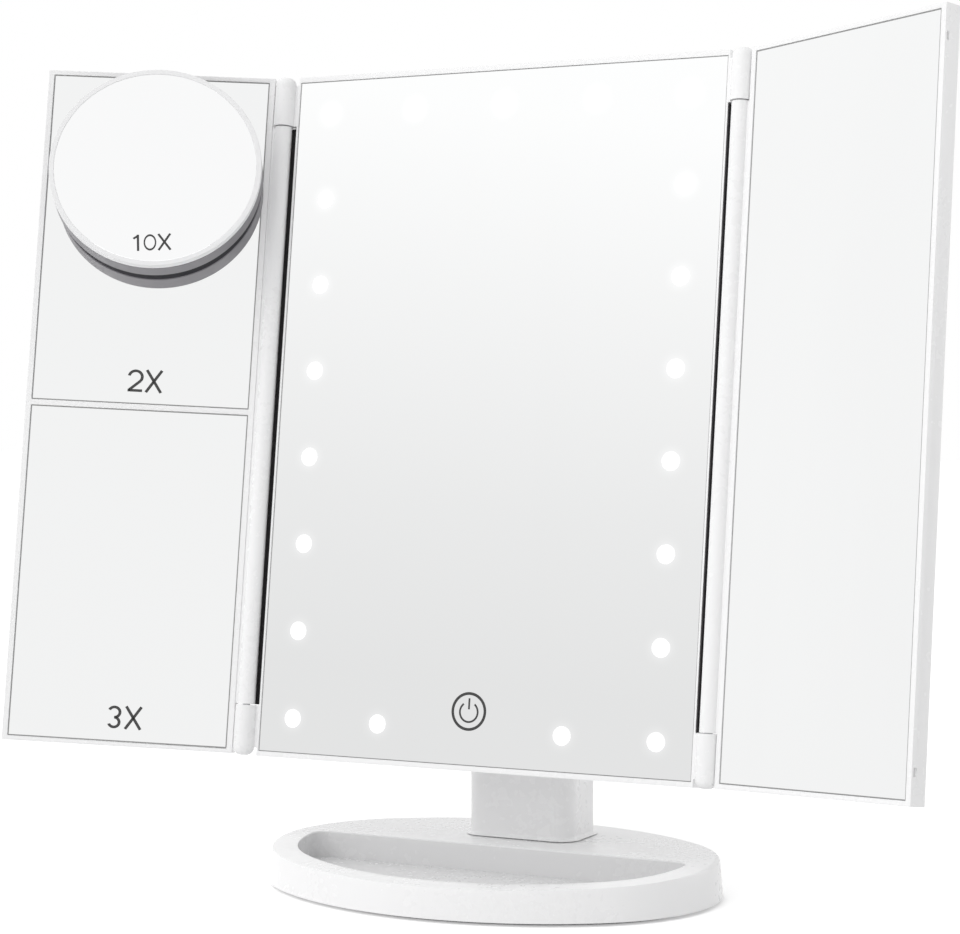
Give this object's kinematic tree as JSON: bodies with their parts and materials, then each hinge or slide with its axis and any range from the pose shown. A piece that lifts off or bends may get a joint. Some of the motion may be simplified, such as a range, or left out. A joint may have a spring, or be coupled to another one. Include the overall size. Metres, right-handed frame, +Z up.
{
  "type": "trifold lighted vanity mirror",
  "caption": "Trifold tabletop vanity mirror with two folding wings, a round clip-on magnifying mirror, a lit middle glass and an oval tray base.",
  "frame": {"origin": "middle of the anti-slip pad's underside, on the table under the oval base", "axes": "+Z up, -Y towards the person who looks in the mirror, +X to that person's right, along the length of the oval base"},
  "size_m": [0.3331, 0.1201, 0.2841],
  "materials": {
    "shell_white": "smooth moulded white with a soft gloss",
    "mirror": "silvered glass",
    "round_mirror": "silvered magnifying glass",
    "light_window": "frosted and lit from behind",
    "pad": "soft matt anti-slip foam",
    "steel": "zinc plated",
    "dark_plastic": "dark matt plastic",
    "spot_grey": "grey satin plastic",
    "spot_ring": "pale satin plastic",
    "board": "green circuit board",
    "light_strip": "white circuit strip with lamp chips",
    "cell_wrap": "printed sleeve over a metal can",
    "cup_rubber": "clear soft plastic"
  },
  "bodies": {
    "stand": {"anti_slip_pad": "pad", "base_shell": "shell_white", "base_bottom_plate": "shell_white", "base_weight": "steel", "base_screws": "steel", "column_front": "shell_white", "column_rear": "shell_white", "column_screws": "steel", "battery_tray": "dark_plastic", "battery_cell_1": "cell_wrap", "battery_cell_2": "cell_wrap", "battery_cell_3": "cell_wrap", "battery_cell_4": "cell_wrap", "battery_contacts": "steel", "control_board": "board", "usb_socket": "steel", "pivot_axle": "steel", "pivot_nut": "steel", "friction_washers": "dark_plastic", "pivot_caps": "shell_white"},
    "battery_cover": {"battery_door": "shell_white"},
    "head": {"centre_frame": "shell_white", "centre_glass": "mirror", "light_windows_left": "light_window", "light_windows_right": "light_window", "light_windows_top": "light_window", "light_windows_bottom": "light_window", "light_board_left": "light_strip", "light_board_right": "light_strip", "light_board_top": "light_strip", "light_board_bottom": "light_strip", "touch_pad": "board", "back_cover": "shell_white", "back_cover_screws": "steel", "pivot_bracket": "shell_white", "bracket_screws": "steel", "hinge_pins_left": "steel", "hinge_pins_right": "steel", "slot_seal_left": "dark_plastic", "slot_seal_right": "dark_plastic"},
    "wing_left": {"wing_frame_left": "shell_white", "wing_back_left": "shell_white", "glass_2x": "mirror", "glass_3x": "mirror"},
    "wing_right": {"wing_frame_right": "shell_white", "wing_back_right": "shell_white", "glass_right": "mirror"},
    "mirror_foot": {"suction_cup": "cup_rubber", "ball_stud": "steel"},
    "round_mirror": {"spot_rear_shell": "spot_grey", "spot_socket": "dark_plastic", "spot_groove_ring": "dark_plastic", "spot_front_shell": "spot_grey", "spot_ring": "spot_ring", "spot_glass_10x": "round_mirror"}
  },
  "joints": [
    {"name": "head_tilt", "type": "hinge", "parent": "stand", "child": "head", "pos_m": [0, 0.0313, 0.15], "axis": [-1, 0, 0], "range_deg": [-13.5, 82.5]},
    {"name": "wing_left_fold", "type": "hinge", "parent": "head", "child": "wing_left", "pos_m": [-0.0858, -0.00629, 0.16134], "axis": [0, 0.1305, 0.9914], "range_deg": [-22, 68]},
    {"name": "wing_right_fold", "type": "hinge", "parent": "head", "child": "wing_right", "pos_m": [0.0858, -0.00629, 0.16134], "axis": [0, -0.1305, -0.9914], "range_deg": [-25, 155]},
    {"name": "mirror_foot_lift", "type": "slide", "parent": "wing_left", "child": "mirror_foot", "axis": [0.3746, -0.9193, 0.121], "range_m": [0, 0.03]},
    {"name": "round_mirror_swivel", "type": "hinge", "parent": "mirror_foot", "child": "round_mirror", "pos_m": [-0.1178, -0.02313, 0.23904], "axis": [0.887, 0.4578, -0.0603], "range_deg": [0, 24]},
    {"name": "battery_cover_slide", "type": "slide", "parent": "stand", "child": "battery_cover", "axis": [0, 1, 0], "range_m": [0, 0.014]}
  ]
}
